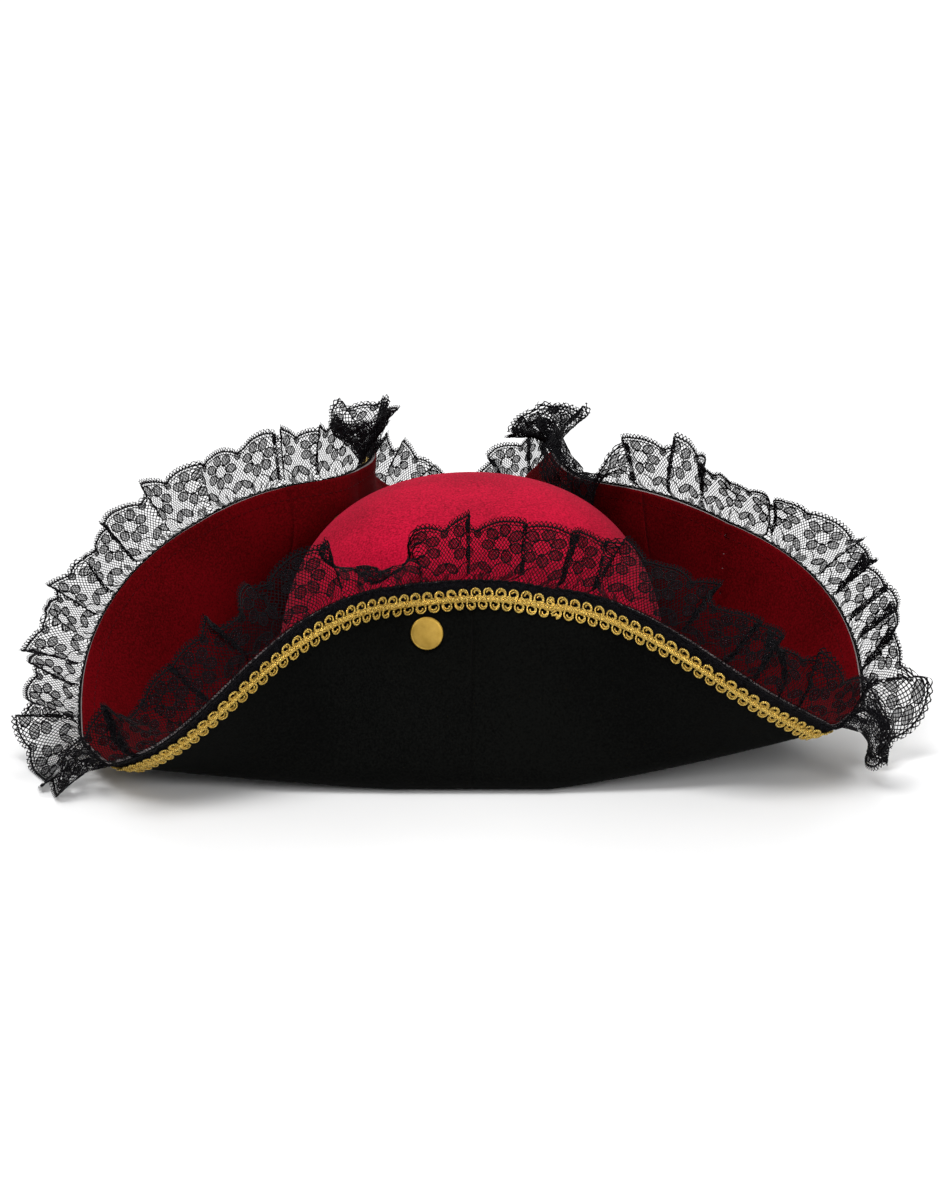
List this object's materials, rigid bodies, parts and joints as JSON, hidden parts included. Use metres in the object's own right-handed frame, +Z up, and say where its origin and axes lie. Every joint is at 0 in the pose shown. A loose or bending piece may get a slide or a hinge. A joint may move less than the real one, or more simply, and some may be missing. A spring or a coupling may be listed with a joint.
{
  "type": "pirate hat",
  "caption": "Tricorn pirate hat with a domed crown, three turned-up brim flaps, gimp braid, gathered lace edging and press studs.",
  "frame": {"origin": "centre of the head opening, on the plane of the flat underside of the brim", "axes": "+X to the right of the hat as seen from the front, +Y towards the back, +Z up"},
  "size_m": [0.4077, 0.4267, 0.1226],
  "materials": {
    "crimson_suede": "brushed faux suede",
    "dark_red_suede": "brushed faux suede",
    "black_suede": "brushed faux suede",
    "foam": "stiff foam-backed interlining",
    "lining": "plain woven lining",
    "sweatband": "grosgrain ribbon",
    "gold_braid": "metallic gimp braid",
    "black_lace": "gathered floral lace",
    "brass": "polished stamped brass"
  },
  "bodies": {
    "base": {"brim_core": "foam", "brim_under_cloth": "black_suede", "brim_upper_cloth": "dark_red_suede", "corner_front_left_core": "foam", "corner_front_left_gimp": "gold_braid", "corner_front_left_lace": "black_lace", "corner_front_left_under_cloth": "black_suede", "corner_front_left_upper_cloth": "dark_red_suede", "corner_front_right_core": "foam", "corner_front_right_gimp": "gold_braid", "corner_front_right_lace": "black_lace", "corner_front_right_under_cloth": "black_suede", "corner_front_right_upper_cloth": "dark_red_suede", "corner_rear_core": "foam", "corner_rear_gimp": "gold_braid", "corner_rear_lace": "black_lace", "corner_rear_under_cloth": "black_suede", "corner_rear_upper_cloth": "dark_red_suede", "crown_cloth": "crimson_suede", "crown_lining": "lining", "crown_shell": "foam", "post_front": "brass", "post_left": "brass", "post_right": "brass", "stud_front": "brass", "stud_left": "brass", "stud_right": "brass", "sweatband": "sweatband"},
    "flap_front": {"flap_front_core": "foam", "flap_front_gimp": "gold_braid", "flap_front_lace": "black_lace", "flap_front_under_cloth": "black_suede", "flap_front_upper_cloth": "dark_red_suede", "cap_front": "brass", "socket_front": "brass"},
    "flap_right": {"flap_right_core": "foam", "flap_right_gimp": "gold_braid", "flap_right_lace": "black_lace", "flap_right_under_cloth": "black_suede", "flap_right_upper_cloth": "dark_red_suede", "cap_right": "brass", "socket_right": "brass"},
    "flap_left": {"flap_left_core": "foam", "flap_left_gimp": "gold_braid", "flap_left_lace": "black_lace", "flap_left_under_cloth": "black_suede", "flap_left_upper_cloth": "dark_red_suede", "cap_left": "brass", "socket_left": "brass"}
  },
  "joints": [
    {"name": "front_fold", "type": "hinge", "parent": "base", "child": "flap_front", "pos_m": [0, -0.1297, 0.0108], "axis": [1, 0, 0], "range_deg": [0, 70]},
    {"name": "right_fold", "type": "hinge", "parent": "base", "child": "flap_right", "pos_m": [0.09674, 0.05585, 0.0108], "axis": [-0.5, 0.866, 0], "range_deg": [0, 70]},
    {"name": "left_fold", "type": "hinge", "parent": "base", "child": "flap_left", "pos_m": [-0.09674, 0.05585, 0.0108], "axis": [-0.5, -0.866, 0], "range_deg": [0, 70]}
  ]
}
